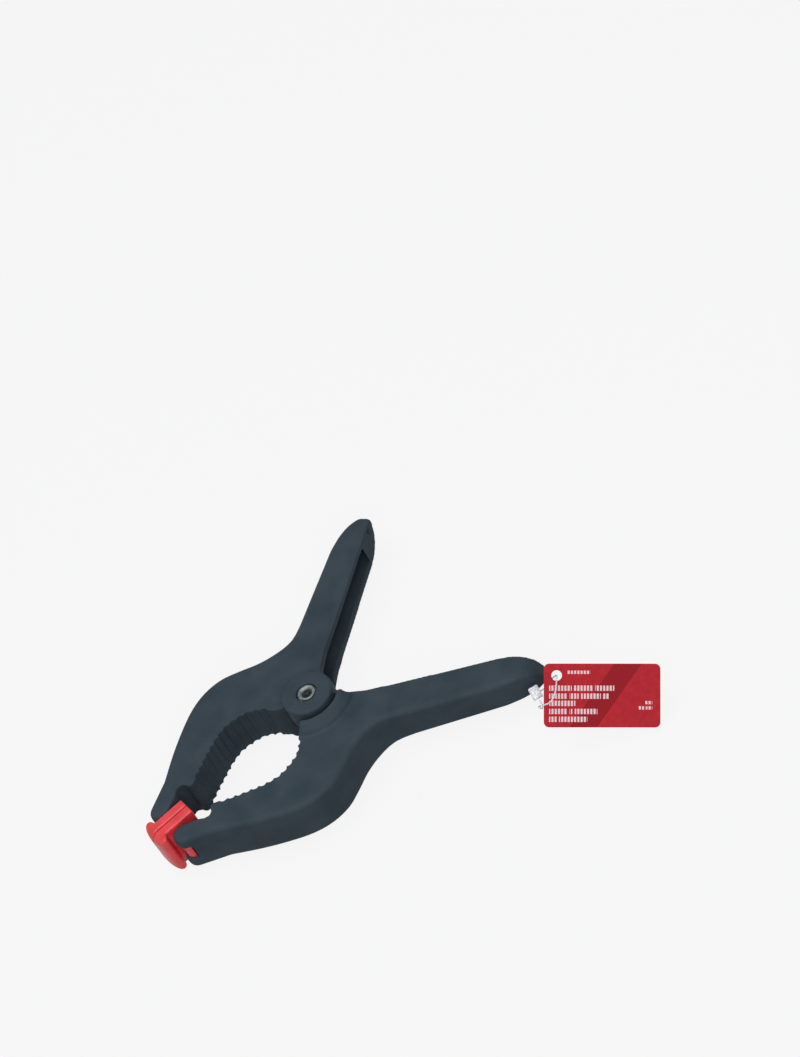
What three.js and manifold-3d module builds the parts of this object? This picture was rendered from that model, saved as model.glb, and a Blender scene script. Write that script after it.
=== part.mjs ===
// Spring clamp, closed, lying on its side: two equal moulded arms on a hollow steel pivot, a torsion
// spring between them, a swivelling soft pad on each jaw, and a card tag on a plastic loop.
//
// Units are millimetres. The drawing frame has the pivot's axis on Z and the clamp's centre line
// on X: jaws towards -X, handles towards +X, the upper arm on the +Y side. The lower arm is the
// upper one turned over about X. The finished group is then moved so that its origin is the
// middle of the underside of the clamp's box.

import * as THREE from 'three';
import { mergeVertices } from 'three/addons/utils/BufferGeometryUtils.js';
import Module from 'manifold-3d';

const wasm = await Module();
wasm.setup();

// ---------------------------------------------------------------- driving dimensions

const JAW_WIDTH = 20; // of the arms at the jaws, along the pivot
const HANDLE_WIDTH = 14.5; // of the arms at the handles
const EDGE_ROUND = 2.2; // rounding of the long outer edges of a moulding
const HANDLE_WALL = 2.4; // side walls of the handle's channel
const HANDLE_WEB = 3.2; // outer wall of the handle's channel
const SHARP_MARGIN = 4; // how much wider the blank is made where an edge is then cut sharp
const TIP_CURVE = 15.2; // length of the handle's tip over which its back edge is rounded away
const TIP_REACH = 101.2; // along the handle's straight back, from the pivot to the tip
const TAPER_START = 2; // where the arm begins to narrow from jaw to handle
const TAPER_END = 32;

const EAR_RADIUS = 11.6; // hub ears
const EAR_GAP = 0.4; // between the ears of the two arms, face to face
const EAR_SWEEP = 0.6; // between an ear's rim and the other arm
const BOSS_RISE = 4.7; // boss above the side of the jaw
const BOSS_EDGE = 1.2; // rounding of the boss's top edge
const BOSS_FLARE = 2.4; // skirt that runs from the boss down to its own arm
const INNER_EAR = 3.0; // thickness of the inner ear
const RIM_SET = 1.4; // from the edge of the pocket out to the raised lip around the other arm's boss
const RIM_WIDTH = 6;
const RIM_RISE = 2.3;

const WIRE = 2.3; // spring wire
const FULL_TURNS = 2; // turns of the coil beyond the part turn between its legs
const COIL_PITCH = 2.45; // rise of the coil for each turn
const COIL_FIT = 0.45; // between the coil and the collars inside it
const COLLAR_WALL = 1.7; // collars that the coil sits on
const SPRING_REACH = [34, 41.6]; // middle of a leg's end, in the upper handle
const SPRING_STEPS = 96;

const TUBE_RADIUS = 3.0; // pivot tube
const TUBE_WALL = 0.8;
const TUBE_FIT = 0.3; // between the tube and its bore
const TUBE_LIP = 1.0; // how far the rolled end stands out from the tube
const WASHER = 0.8; // washer thickness
const WASHER_RADIUS = 4.3;
const RECESS_FIT = 0.4; // around the washer
const RECESS_DEPTH = 2.4; // of the recess in the boss
const SEAT = 0.3; // gap that faces in contact keep

const SEAM_GAP = 0.4; // between the two pads of the closed clamp
const PAD_PLATE = 4.5; // pad thickness on its gripping face
const PAD_WIDTH = 22; // along the pivot
const PAD_START = -69.9; // heel of the pad
const PAD_END = -90.6; // toe of the pad
const PAD_LIP = 5.6; // thickness of the toe lip
const PAD_LIP_TOP = 7.4; // height of the toe lip from the clamp's centre line
const PAD_CORNER = 5; // rounding of the toe's corners, seen on the gripping face
const PAD_ROUND = 0.8; // rounding of the pad's side edges
const NOSE_RADIUS = 4.5; // round nose of the jaw that the pad swivels on
const NOSE_X = -79.5;
const NOSE_BAR = 1.8; // radius of the bar in the nose
const HOOK_WIDTH = 8; // of the hook that snaps over the bar, along the pivot
const HOOK_WALL = 1.3;
const HOOK_FIT = 0.3;
const HOOK_MOUTH = [100, 330]; // degrees round the bar that the hook covers

const TOOTH_PITCH = 3.6; // grooves along the inner edge of the jaw
const TOOTH_RADIUS = 1.85;
const TOOTH_DEPTH = 1.1;

const TIE_HOLE_RADIUS = 1.1; // a hole across the solid tip of the handle, for the tag's loop
const TIE_HOLE_ALONG = 95.5; // its place along the handle's straight back, from the pivot
const TIE_HOLE_SIDE = 4.4; // its place along the pivot's axis

const TAG_LENGTH = 48;
const TAG_HEIGHT = 26.3;
const TAG_THICKNESS = 0.5;
const TAG_CORNER = 2.2;
const TAG_HOLE = 2.2; // radius of the punched hole
const TAG_HOLE_INSET = [5.3, 4.9]; // from the card's left and top edges
const TAG_PLACE = [74.7, -87.6, 15]; // middle of the punched hole
const TAG_TURN = -15.6; // degrees: heading, lean and roll of the hanging card
const TAG_LEAN = 46;
const TAG_ROLL = -30;

const LOCK_SIZE = [4.4, 6.2, 3.4]; // moulded lock of the tag's loop
const LOCK_ROUND = 0.8;
const LOCK_PLACE = [66.8, -75.3, 1.2];
const LOOP_WIRE = 0.7; // the loop's diameter
const LOOP_STEPS = 64;
// From the lock's lower end to the front of the card, through its hole, behind the card to the tie
// hole, across the handle's tip, round the tip's back side, and into the back of the lock.
const LOOP_ROUTE = [[66.1, -77.7, -1.3], [65.4, -79.8, -2.3], [63.9, -82.5, -0.4], [62.2, -85.2, 4.1],
  [61.4, -87.9, 8.1], [62.1, -90.8, 10.6], [65.1, -93.1, 11.6], [68.6, -92.8, 13.3],
  [71.6, -91.2, 15.2], [73.9, -89.2, 16.2], [74.7, -87.6, 15], [75.2, -85.8, 13.1], [74, -81.3, 8.2],
  [72.3, -77.1, 2.2], [70.6, -73.5, -2.2], [69.4, -70.4, -4.1], [69.7, -67.8, -4.4],
  [71.5, -65, -4.4], [73.6, -61.8, -4.4], [75.7, -58.6, -4.4], [76.9, -56.8, -5.2],
  [77.2, -56.4, -7.2], [76.2, -57.9, -9.2], [73.6, -61.8, -10], [71.2, -65.5, -9.9], [69, -69, -9.2],
  [67.8, -71.6, -6.2], [67.6, -73, -2.9], [67.2, -73.9, -0.2]];

// ---------------------------------------------------------------- sizes that follow

const deg = THREE.MathUtils.degToRad;
const jawHalf = JAW_WIDTH / 2;
const handleHalf = HANDLE_WIDTH / 2;
const bossTop = jawHalf + BOSS_RISE;
const boreRadius = TUBE_RADIUS + TUBE_FIT;
const collarRadius = boreRadius + COLLAR_WALL;
const coilRadius = collarRadius + COIL_FIT + WIRE / 2;
const legEnd = new THREE.Vector2(...SPRING_REACH);
const legAngle = legEnd.angle() + Math.acos(coilRadius / legEnd.length());
const coilTurns = FULL_TURNS + 1 - legAngle / Math.PI;
const coilHalf = (coilTurns * COIL_PITCH) / 2;
const innerEarFrom = coilHalf + WIRE / 2 + SEAT;
const innerEarTo = innerEarFrom + INNER_EAR;
const outerEarFrom = innerEarTo + EAR_GAP;
const sweepRadius = EAR_RADIUS + EAR_SWEEP;
const channelHalf = handleHalf - HANDLE_WALL;
const padTop = SEAM_GAP / 2 + PAD_PLATE;
const nose = new THREE.Vector2(NOSE_X, padTop + SEAT + NOSE_RADIUS);
const hookHalf = HOOK_WIDTH / 2;
const recessFloor = bossTop - RECESS_DEPTH;
const lipFrom = recessFloor + SEAT + WASHER + SEAT;

// ---------------------------------------------------------------- outlines of the upper arm

// Back of the jaw, from the nose to where the straight back of the handle begins.
const JAW_BACK = [[-69.4, 20.6], [-58.5, 29.6], [-47.5, 37.4], [-38, 42.8], [-29, 45.3], [-20, 44.9],
  [-12, 41.6], [-3, 37.1], [6, 34.8], [14, 35.5], [21.9, 40.2]];
const HANDLE_TIP = [[56.8, 63.4], [64.4, 66.8], [71.5, 68.2], [77.6, 67.1], [80.4, 64.7], [80, 62.1]];
// Front of the arm: a straight rim from the tip to the hub, then the jaw bows off the centre line.
const HANDLE_HEEL = [19.7, 17];
const CROTCH = [14, 11.5];
const HUB_INSIDE = [[9, 4], [-8, 4]];
const JAW_FRONT = [[-13.6, 8.8], [-17.6, 13.9], [-22.3, 18], [-28.5, 20], [-34, 20.4], [-39.8, 18.9],
  [-45, 16.5], [-51, 13.5], [-57, 10.2], [-60.4, 8.5]];
// Hollow behind the nose: room for the pad to swivel, and a seat for thin rods.
const HOLLOW = [[-62, 7.9], [-63.5, 8.8], [-64.4, 11.2], [-66.2, 12.3], [-68.4, 11.6], [-70.4, 9.8],
  [-73.2, 8.1]];
const HOLLOW_ANGLE = -38; // where the hollow runs out into the nose
const NOSE_UNDERSIDE = -Math.PI / 2;
// Hollow of the handle: the web's inner face near the hub, and the channel's rounded far end.
const CHANNEL_HUB = [[-1, 14.5], [6, 24], [13, 32]];
const CHANNEL_END = [[65, 63.2], [68, 61.3], [68.7, 57], [67, 52]];
const CHANNEL_MOUTH = [[71, 46], [14, 2], [-1, 8]];

function vectors(list) {
  return list.map(([x, y]) => new THREE.Vector2(x, y));
}

function through(list, divisions) {
  return new THREE.SplineCurve(vectors(list)).getPoints(divisions);
}

function arc(centre, radius, from, to, divisions) {
  const curve = new THREE.EllipseCurve(centre.x, centre.y, radius, radius, from, to, to < from);
  return curve.getPoints(divisions);
}

function handleSlope() {
  return new THREE.Vector2(...HANDLE_TIP[0]).sub(new THREE.Vector2(...JAW_BACK.at(-1))).normalize();
}

function armOutline(handleEdge, jawEdge) {
  const toBack = new THREE.Vector2(...JAW_BACK[0]).sub(nose);
  const leave = toBack.angle() + Math.acos(NOSE_RADIUS / toBack.length()) - 2 * Math.PI;
  return new THREE.Shape([
    ...arc(nose, NOSE_RADIUS, NOSE_UNDERSIDE, leave, 14),
    ...through(JAW_BACK, 30),
    ...through(HANDLE_TIP, 16),
    ...handleEdge,
    ...vectors(HUB_INSIDE),
    ...jawEdge,
  ]);
}

function handleInnerEdge() {
  return vectors([HANDLE_HEEL, CROTCH]);
}

function handleBlankEdge() {
  // The inner edge of the handle moved towards the other handle, for the blank.
  const slope = handleSlope();
  const aside = new THREE.Vector2(slope.y, -slope.x).multiplyScalar(SHARP_MARGIN);
  return vectors([HANDLE_TIP.at(-1), HANDLE_HEEL, CROTCH]).map((point) => point.add(aside));
}

function handleGapOutline() {
  // What is cut from the blank between the handle's inner edge and the clamp's centre line.
  const tip = new THREE.Vector2(...HANDLE_TIP.at(-1));
  const beyond = tip.clone().addScaledVector(handleSlope(), 2 * SHARP_MARGIN);
  return new THREE.Shape([
    new THREE.Vector2(beyond.x, -SHARP_MARGIN),
    beyond,
    tip,
    ...handleInnerEdge(),
    ...vectors([HUB_INSIDE[0]]),
    new THREE.Vector2(HUB_INSIDE[0][0], -SHARP_MARGIN),
  ]);
}

function jawInnerEdge() {
  // Mouth of the jaw, the hollow behind the nose, and the nose down to its underside.
  return [
    ...through(JAW_FRONT, 22),
    ...vectors(HOLLOW),
    ...arc(nose, NOSE_RADIUS, deg(HOLLOW_ANGLE), NOSE_UNDERSIDE, 6).slice(0, -1),
  ];
}

function mouthOutline() {
  // What is cut from the moulding between the jaw's inner edge and the clamp's centre line.
  const hub = new THREE.Vector2(...HUB_INSIDE.at(-1));
  return new THREE.Shape([
    hub,
    ...jawInnerEdge(),
    new THREE.Vector2(nose.x, nose.y - NOSE_RADIUS),
    new THREE.Vector2(nose.x, 0),
    new THREE.Vector2(hub.x, 0),
  ]);
}

function channelOutline() {
  const slope = handleSlope();
  const inward = new THREE.Vector2(slope.y, -slope.x).multiplyScalar(HANDLE_WEB);
  const webStart = new THREE.Vector2(...JAW_BACK.at(-1)).add(inward);
  const webEnd = new THREE.Vector2(...HANDLE_TIP[0]).add(inward);
  return new THREE.Shape([
    ...through([...CHANNEL_HUB, webStart.toArray()], 10),
    webEnd,
    ...through(CHANNEL_END, 8),
    ...vectors(CHANNEL_MOUTH),
  ]);
}

// ---------------------------------------------------------------- helpers

function solidOf(geometry) {
  const bare = geometry.clone();
  bare.deleteAttribute('normal');
  bare.deleteAttribute('uv');
  const merged = mergeVertices(bare);
  return new wasm.Manifold(new wasm.Mesh({
    numProp: 3,
    vertProperties: merged.attributes.position.array,
    triVerts: new Uint32Array(merged.index.array),
  }));
}

function geometryOf(solid) {
  const mesh = solid.getMesh();
  const geometry = new THREE.BufferGeometry();
  geometry.setAttribute('position', new THREE.BufferAttribute(new Float32Array(mesh.vertProperties), 3));
  geometry.setIndex(new THREE.BufferAttribute(new Uint32Array(mesh.triVerts), 1));
  geometry.computeVertexNormals();
  return geometry;
}

function slab(shape, from, to, inset = 0) {
  const geometry = new THREE.ExtrudeGeometry(shape, {
    depth: to - from,
    bevelThickness: 0,
    bevelSize: 0,
    bevelOffset: -inset,
    bevelSegments: 0,
  });
  geometry.translate(0, 0, from);
  return geometry;
}

function roundedSlab(shape, half, round, bevelSegments = 3) {
  const geometry = new THREE.ExtrudeGeometry(shape, {
    depth: 2 * (half - round),
    bevelThickness: round,
    bevelSize: round,
    bevelOffset: -round,
    bevelSegments,
  });
  geometry.translate(0, 0, round - half);
  return geometry;
}

function rod(radius, from, to, segments = 40, x = 0, y = 0) {
  const geometry = new THREE.CylinderGeometry(radius, radius, to - from, segments);
  geometry.rotateX(Math.PI / 2);
  geometry.translate(x, y, (from + to) / 2);
  return geometry;
}

function turned(profile, segments) {
  // Profile points are [radius, z], going round so that the solid lies on their left.
  const geometry = new THREE.LatheGeometry(vectors(profile), segments);
  geometry.rotateX(Math.PI / 2);
  return geometry;
}

function wireAlong(route, diameter, steps) {
  const section = new THREE.Shape(arc(new THREE.Vector2(), diameter / 2, 0, 2 * Math.PI, 8).slice(0, -1));
  const path = new THREE.CatmullRomCurve3(route, false, 'centripetal');
  return new THREE.ExtrudeGeometry(section, { steps, extrudePath: path });
}

// ---------------------------------------------------------------- arm

function halfWidth(x) {
  const along = THREE.MathUtils.smoothstep(x, TAPER_START, TAPER_END);
  return THREE.MathUtils.lerp(jawHalf, handleHalf, along);
}

function armBody(outline) {
  const geometry = roundedSlab(outline, jawHalf, EDGE_ROUND);
  const position = geometry.attributes.position;
  for (let i = 0; i < position.count; i++) {
    position.setZ(i, (position.getZ(i) * halfWidth(position.getX(i))) / jawHalf);
  }
  return solidOf(geometry);
}

function teeth() {
  // Round grooves across the jaw's inner edge, one pitch apart along it.
  const edge = new THREE.SplineCurve(vectors(JAW_FRONT.slice(1, -1)));
  const count = Math.floor(edge.getLength() / TOOTH_PITCH);
  const grooves = edge.getSpacedPoints(count).map((p, i) => {
    const along = edge.getTangentAt(i / count);
    const out = new THREE.Vector2(-along.y, along.x).multiplyScalar(TOOTH_RADIUS - TOOTH_DEPTH);
    return solidOf(rod(TOOTH_RADIUS, -jawHalf - 1, jawHalf + 1, 14, p.x + out.x, p.y + out.y));
  });
  return grooves.reduce((all, groove) => all.add(groove));
}

function tieHole() {
  const geometry = new THREE.CylinderGeometry(TIE_HOLE_RADIUS, TIE_HOLE_RADIUS, 4 * HANDLE_WIDTH, 14);
  geometry.translate(TIE_HOLE_ALONG, 0, TIE_HOLE_SIDE);
  geometry.rotateZ(handleSlope().angle());
  return solidOf(geometry);
}

function tipCorner() {
  // What rounds the back edge of the tip away, drawn along the handle and across it.
  const start = TIP_REACH - TIP_CURVE;
  const curve = new THREE.EllipseCurve(start, handleHalf, TIP_CURVE, HANDLE_WIDTH, -Math.PI / 2, 0);
  const outside = 2 * HANDLE_WIDTH;
  const shape = new THREE.Shape([
    ...curve.getPoints(12),
    new THREE.Vector2(TIP_REACH + outside, handleHalf),
    new THREE.Vector2(TIP_REACH + outside, -outside),
    new THREE.Vector2(start, -outside),
  ]);
  const geometry = slab(shape, -outside, outside);
  geometry.rotateX(Math.PI / 2);
  geometry.rotateZ(handleSlope().angle());
  return solidOf(geometry);
}

function noseSlot() {
  // Gap in the nose for the pad's hook, with the bar left standing across it.
  const half = hookHalf + HOOK_FIT;
  const slot = solidOf(rod(NOSE_RADIUS + HOOK_FIT, -half, half, 28, nose.x, nose.y));
  const bar = solidOf(rod(NOSE_BAR, -half - 1, half + 1, 20, nose.x, nose.y));
  return slot.subtract(bar);
}

function boss(footprint) {
  const plain = turned([
    [0, outerEarFrom],
    [EAR_RADIUS, outerEarFrom],
    [EAR_RADIUS, bossTop - BOSS_EDGE],
    [EAR_RADIUS - BOSS_EDGE * 0.3, bossTop - BOSS_EDGE * 0.3],
    [EAR_RADIUS - BOSS_EDGE, bossTop],
    [0, bossTop],
  ], 48);
  const skirtRadius = EAR_RADIUS + BOSS_FLARE;
  const skirtTop = jawHalf + BOSS_FLARE * 1.3;
  const skirt = turned([
    [0, jawHalf - 1],
    [skirtRadius, jawHalf - 1],
    [skirtRadius, jawHalf],
    [EAR_RADIUS + BOSS_FLARE * 0.3, jawHalf + BOSS_FLARE * 0.45],
    [EAR_RADIUS - BOSS_EDGE * 0.2, skirtTop],
    [0, skirtTop],
  ], 48);
  return solidOf(plain).add(solidOf(skirt).intersect(footprint));
}

function hubRim(footprint) {
  // Raised lip on the back of the arm, around the other arm's boss.
  const inner = sweepRadius + RIM_SET;
  const outer = inner + RIM_WIDTH;
  const root = -jawHalf + 1;
  const top = -jawHalf - RIM_RISE;
  const lip = turned([
    [inner, root],
    [inner, top + RIM_RISE * 0.3],
    [inner + RIM_WIDTH * 0.15, top],
    [inner + RIM_WIDTH * 0.45, top],
    [outer - RIM_WIDTH * 0.15, -jawHalf - RIM_RISE * 0.3],
    [outer, -jawHalf],
    [outer, root],
    [inner, root],
  ], 48);
  return solidOf(lip).intersect(footprint);
}

function armGeometry() {
  // The moulding is blocked out down to the clamp's centre line with rounded edges. The mouth, the
  // teeth and the gap between the handles are then cut square through it, so the inner edges are sharp.
  const outline = armOutline(handleInnerEdge(), jawInnerEdge());
  const footprint = solidOf(slab(outline, -2 * jawHalf, 2 * jawHalf, EDGE_ROUND));
  const mouth = solidOf(slab(mouthOutline(), -2 * jawHalf, 2 * jawHalf));
  const handleGap = solidOf(slab(handleGapOutline(), -2 * jawHalf, 2 * jawHalf));
  const pocket = solidOf(rod(sweepRadius, -2 * jawHalf, outerEarFrom, 64));
  const channel = solidOf(slab(channelOutline(), -channelHalf, channelHalf));
  const innerEar = solidOf(rod(EAR_RADIUS, -innerEarTo, -innerEarFrom, 48));
  const root = solidOf(rod(sweepRadius + 2, -innerEarTo, -innerEarFrom, 48)).intersect(footprint);
  const collar = solidOf(rod(collarRadius, -innerEarTo, -SEAT / 2, 32));
  const bore = solidOf(rod(boreRadius, -2 * jawHalf, 2 * jawHalf, 32));
  const recess = solidOf(rod(WASHER_RADIUS + RECESS_FIT, recessFloor, 2 * bossTop, 32));
  const solid = armBody(armOutline(handleBlankEdge(), []))
    .subtract(mouth)
    .subtract(handleGap)
    .subtract(tipCorner())
    .subtract(pocket)
    .subtract(channel)
    .subtract(teeth())
    .subtract(noseSlot())
    .subtract(tieHole())
    .add(hubRim(footprint))
    .add(boss(footprint))
    .add(innerEar.add(root).add(collar))
    .subtract(bore)
    .subtract(recess);
  return geometryOf(solid);
}

// ---------------------------------------------------------------- pad

function padOutline() {
  const face = SEAM_GAP / 2;
  const lipInner = PAD_END + PAD_LIP;
  const crest = new THREE.Vector2(PAD_END + PAD_LIP * 0.6, PAD_LIP_TOP);
  const toe = new THREE.CubicBezierCurve(
    new THREE.Vector2(PAD_END, face),
    new THREE.Vector2(PAD_END, PAD_LIP_TOP * 0.6),
    new THREE.Vector2(PAD_END + PAD_LIP * 0.25, PAD_LIP_TOP),
    crest,
  );
  const inner = new THREE.QuadraticBezierCurve(
    crest,
    new THREE.Vector2(lipInner, PAD_LIP_TOP),
    new THREE.Vector2(lipInner, padTop),
  );
  return new THREE.Shape([
    new THREE.Vector2(PAD_START, face),
    new THREE.Vector2(PAD_START, padTop),
    ...inner.getPoints(5).reverse(),
    ...toe.getPoints(8).reverse().slice(1),
  ]);
}

function padPlan() {
  // Seen on the gripping face: square heel, toe with rounded corners. Drawn in X and Z.
  const half = PAD_WIDTH / 2;
  const corner = (z, from) => arc(
    new THREE.Vector2(PAD_END + PAD_CORNER, z), PAD_CORNER, deg(from), deg(from + 90), 5);
  const shape = new THREE.Shape([
    new THREE.Vector2(PAD_START + 1, half),
    ...corner(half - PAD_CORNER, 90),
    ...corner(PAD_CORNER - half, 180),
    new THREE.Vector2(PAD_START + 1, -half),
  ]);
  const geometry = slab(shape, -2 * PAD_LIP_TOP, 2 * PAD_LIP_TOP);
  geometry.rotateX(Math.PI / 2);
  return solidOf(geometry);
}

function padHook() {
  const inner = NOSE_BAR + HOOK_FIT;
  const outer = inner + HOOK_WALL;
  const open = deg(HOOK_MOUTH[0]);
  const shut = deg(HOOK_MOUTH[1]);
  const jawlet = new THREE.Shape([...arc(nose, outer, open, shut, 16), ...arc(nose, inner, shut, open, 16)]);
  const stem = new THREE.Shape(vectors([
    [nose.x - outer * 0.75, padTop - 1],
    [nose.x + outer * 0.6, padTop - 1],
    [nose.x + outer * 0.6, nose.y - inner],
    [nose.x - outer * 0.75, nose.y - inner],
  ]));
  const bar = solidOf(rod(inner, -hookHalf - 1, hookHalf + 1, 24, nose.x, nose.y));
  return solidOf(slab(stem, -hookHalf, hookHalf))
    .subtract(bar)
    .add(solidOf(slab(jawlet, -hookHalf, hookHalf)));
}

function padGeometry() {
  const body = solidOf(roundedSlab(padOutline(), PAD_WIDTH / 2, PAD_ROUND));
  return geometryOf(body.intersect(padPlan()).add(padHook()));
}

// ---------------------------------------------------------------- pivot and spring

function tubeGeometry() {
  const bore = TUBE_RADIUS - TUBE_WALL;
  const lip = TUBE_RADIUS + TUBE_LIP;
  const end = lipFrom + TUBE_WALL;
  const upper = [
    [TUBE_RADIUS, lipFrom],
    [lip, lipFrom],
    [lip, end - TUBE_WALL * 0.4],
    [lip - TUBE_LIP * 0.5, end],
    [TUBE_RADIUS, end],
    [bore, lipFrom - TUBE_WALL * 0.5],
  ];
  const lower = upper.map(([radius, z]) => [radius, -z]).reverse();
  return turned([...lower, ...upper, lower[0]], 32);
}

function washerGeometry() {
  const from = recessFloor + SEAT;
  const to = from + WASHER;
  const hole = boreRadius;
  const profile = [[hole, from], [WASHER_RADIUS, from], [WASHER_RADIUS, to], [hole, to], [hole, from]];
  return turned(profile, 32);
}

function springGeometry() {
  // Leg, coil and leg, from the upper handle down to the lower one.
  const sweep = coilTurns * 2 * Math.PI;
  const coilSteps = Math.ceil(coilTurns * 16);
  const coil = [];
  for (let i = 0; i <= coilSteps; i++) {
    const share = i / coilSteps;
    const angle = legAngle + sweep * share;
    const z = THREE.MathUtils.lerp(coilHalf, -coilHalf, share);
    coil.push(new THREE.Vector3(coilRadius * Math.cos(angle), coilRadius * Math.sin(angle), z));
  }
  const upperEnd = new THREE.Vector3(legEnd.x, legEnd.y, coilHalf);
  const lowerEnd = new THREE.Vector3(legEnd.x, -legEnd.y, -coilHalf);
  const legPoints = (from, to) => [0, 0.3, 0.6, 0.85].map((t) => from.clone().lerp(to, t));
  return wireAlong([
    ...legPoints(upperEnd, coil[0]),
    ...coil,
    ...legPoints(lowerEnd, coil.at(-1)).reverse(),
  ], WIRE, SPRING_STEPS);
}

// ---------------------------------------------------------------- tag

function roundedCard(width, height, corner) {
  const x = width / 2 - corner;
  const y = height / 2 - corner;
  return new THREE.Shape([[x, y, 0], [-x, y, 90], [-x, -y, 180], [x, -y, 270]].flatMap(
    ([cx, cy, from]) => arc(new THREE.Vector2(cx, cy), corner, deg(from), deg(from + 90), 5)));
}

function tagGeometry() {
  // The punched hole is at the origin, the card's face looks along Z.
  const card = roundedCard(TAG_LENGTH, TAG_HEIGHT, TAG_CORNER);
  const hole = new THREE.Vector2(TAG_HOLE_INSET[0] - TAG_LENGTH / 2, TAG_HEIGHT / 2 - TAG_HOLE_INSET[1]);
  card.holes.push(new THREE.Path(arc(hole, TAG_HOLE, 0, 2 * Math.PI, 20).slice(0, -1)));
  const geometry = slab(card, -TAG_THICKNESS / 2, TAG_THICKNESS / 2);
  geometry.translate(-hole.x, -hole.y, 0);
  return geometry;
}

function lockGeometry() {
  const [width, height, depth] = LOCK_SIZE;
  return roundedSlab(roundedCard(width, height, LOCK_ROUND * 2), depth / 2, LOCK_ROUND, 2);
}

// ---------------------------------------------------------------- assembly

const NYLON = { color: 0x383f4b, roughness: 0.55, metalness: 0 };
const STEEL = { color: 0xc4c6c9, roughness: 0.3, metalness: 1 };
const SPRING_STEEL = { color: 0x8d8f93, roughness: 0.35, metalness: 1 };
const RED_PLASTIC = { color: 0xe23440, roughness: 0.45, metalness: 0 };
const RED_CARD = { color: 0xb4202c, roughness: 0.5, metalness: 0 };
const CLEAR_PLASTIC = { color: 0xe8ecee, roughness: 0.25, metalness: 0 };

function piece(name, geometry, finish) {
  const mesh = new THREE.Mesh(geometry, new THREE.MeshStandardMaterial(finish));
  mesh.name = name;
  return mesh;
}

function turnedOver(mesh) {
  mesh.rotation.x = Math.PI;
  return mesh;
}

const arm = armGeometry();
const pad = padGeometry();
const washer = washerGeometry();

const clamp = new THREE.Group();
clamp.add(
  turnedOver(piece('lower_arm', arm, NYLON)),
  piece('upper_arm', arm.clone(), NYLON),
  turnedOver(piece('lower_jaw_pad', pad, RED_PLASTIC)),
  piece('upper_jaw_pad', pad.clone(), RED_PLASTIC),
  piece('torsion_spring', springGeometry(), SPRING_STEEL),
  piece('pivot_tube', tubeGeometry(), STEEL),
  piece('front_washer', washer, STEEL),
  turnedOver(piece('back_washer', washer.clone(), STEEL)),
);

const tagTurn = new THREE.Group();
tagTurn.position.set(...TAG_PLACE);
tagTurn.rotation.set(deg(TAG_LEAN), 0, deg(TAG_TURN), 'ZXY');
const tag = piece('hang_tag', tagGeometry(), RED_CARD);
tag.rotation.z = deg(TAG_ROLL);
tagTurn.add(tag);

const lock = piece('loop_lock', lockGeometry(), CLEAR_PLASTIC);
lock.position.set(...LOCK_PLACE);
lock.rotation.set(deg(TAG_LEAN), 0, deg(TAG_TURN), 'ZXY');
const route = LOOP_ROUTE.map((p) => new THREE.Vector3(...p));
const loop = piece('tag_loop', wireAlong(route, LOOP_WIRE, LOOP_STEPS), CLEAR_PLASTIC);

// The origin is under the middle of the clamp itself, without its tag.
const box = new THREE.Box3().setFromObject(clamp);
const middle = box.getCenter(new THREE.Vector3());
const springClamp = new THREE.Group();
springClamp.add(clamp, tagTurn, lock, loop);
springClamp.position.set(-middle.x, -middle.y, -box.min.z);

export default springClamp;
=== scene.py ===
# %% [markdown]
# # A moulded spring clamp, dressed for the camera
# The clamp is two equal nylon arms on a hollow steel pivot, with a coil spring between them, a soft
# red pad on each jaw and a red card tag that hangs from one handle on a clear plastic loop. The
# engineering model gives every piece its size and place. This lesson gives each piece its finish:
# rounded mouldings, drawn wire, printed card, and the materials that go with them.

# %% Load the engineering model
import math

import bpy
from mathutils import Matrix, Vector


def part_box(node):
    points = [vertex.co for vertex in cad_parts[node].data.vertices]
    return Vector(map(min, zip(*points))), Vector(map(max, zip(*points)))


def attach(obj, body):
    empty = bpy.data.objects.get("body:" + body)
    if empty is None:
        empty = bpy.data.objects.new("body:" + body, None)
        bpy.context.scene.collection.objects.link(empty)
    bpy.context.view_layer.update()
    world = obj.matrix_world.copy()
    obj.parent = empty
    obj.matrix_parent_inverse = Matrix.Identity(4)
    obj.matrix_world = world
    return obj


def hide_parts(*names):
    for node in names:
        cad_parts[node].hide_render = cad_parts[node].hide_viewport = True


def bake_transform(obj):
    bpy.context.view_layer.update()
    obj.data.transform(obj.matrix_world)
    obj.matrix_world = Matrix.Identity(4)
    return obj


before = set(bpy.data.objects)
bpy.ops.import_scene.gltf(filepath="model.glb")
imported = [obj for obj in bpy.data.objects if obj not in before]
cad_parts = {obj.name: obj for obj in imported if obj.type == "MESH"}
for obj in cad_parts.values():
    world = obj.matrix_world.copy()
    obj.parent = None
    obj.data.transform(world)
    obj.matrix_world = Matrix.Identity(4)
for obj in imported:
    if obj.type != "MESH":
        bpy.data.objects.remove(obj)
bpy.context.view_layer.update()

MM = 0.001

# %% [markdown]
# ## Where things are
# The pivot's axis stands upright, and the clamp lies flat. Drawings of such a tool are made from the
# pivot, with the jaws to the left and the upper arm above the centre line, so every place below is
# given in millimetres from the middle of the pivot. The middle is read from the pivot tube's box,
# which keeps this script right when the model changes.

# %% The pivot is the drawing's zero
TUBE_LOW, TUBE_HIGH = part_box("pivot_tube")
PIVOT = (TUBE_LOW + TUBE_HIGH) / 2


def place(x, y, z):
    """A point of the drawing, in millimetres from the pivot, as a point of the scene."""
    return PIVOT + Vector((x, y, z)) * MM


print("pivot at, mm:", [round(c / MM, 2) for c in PIVOT])

# %% [markdown]
# ## The camera
# The picture was taken from in front and above, with a long lens. The camera's own axes were worked
# out from the clamp's straight edges: one vector points to the right of the picture, one back
# towards the camera, and the cross product of the two gives the third.

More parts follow.
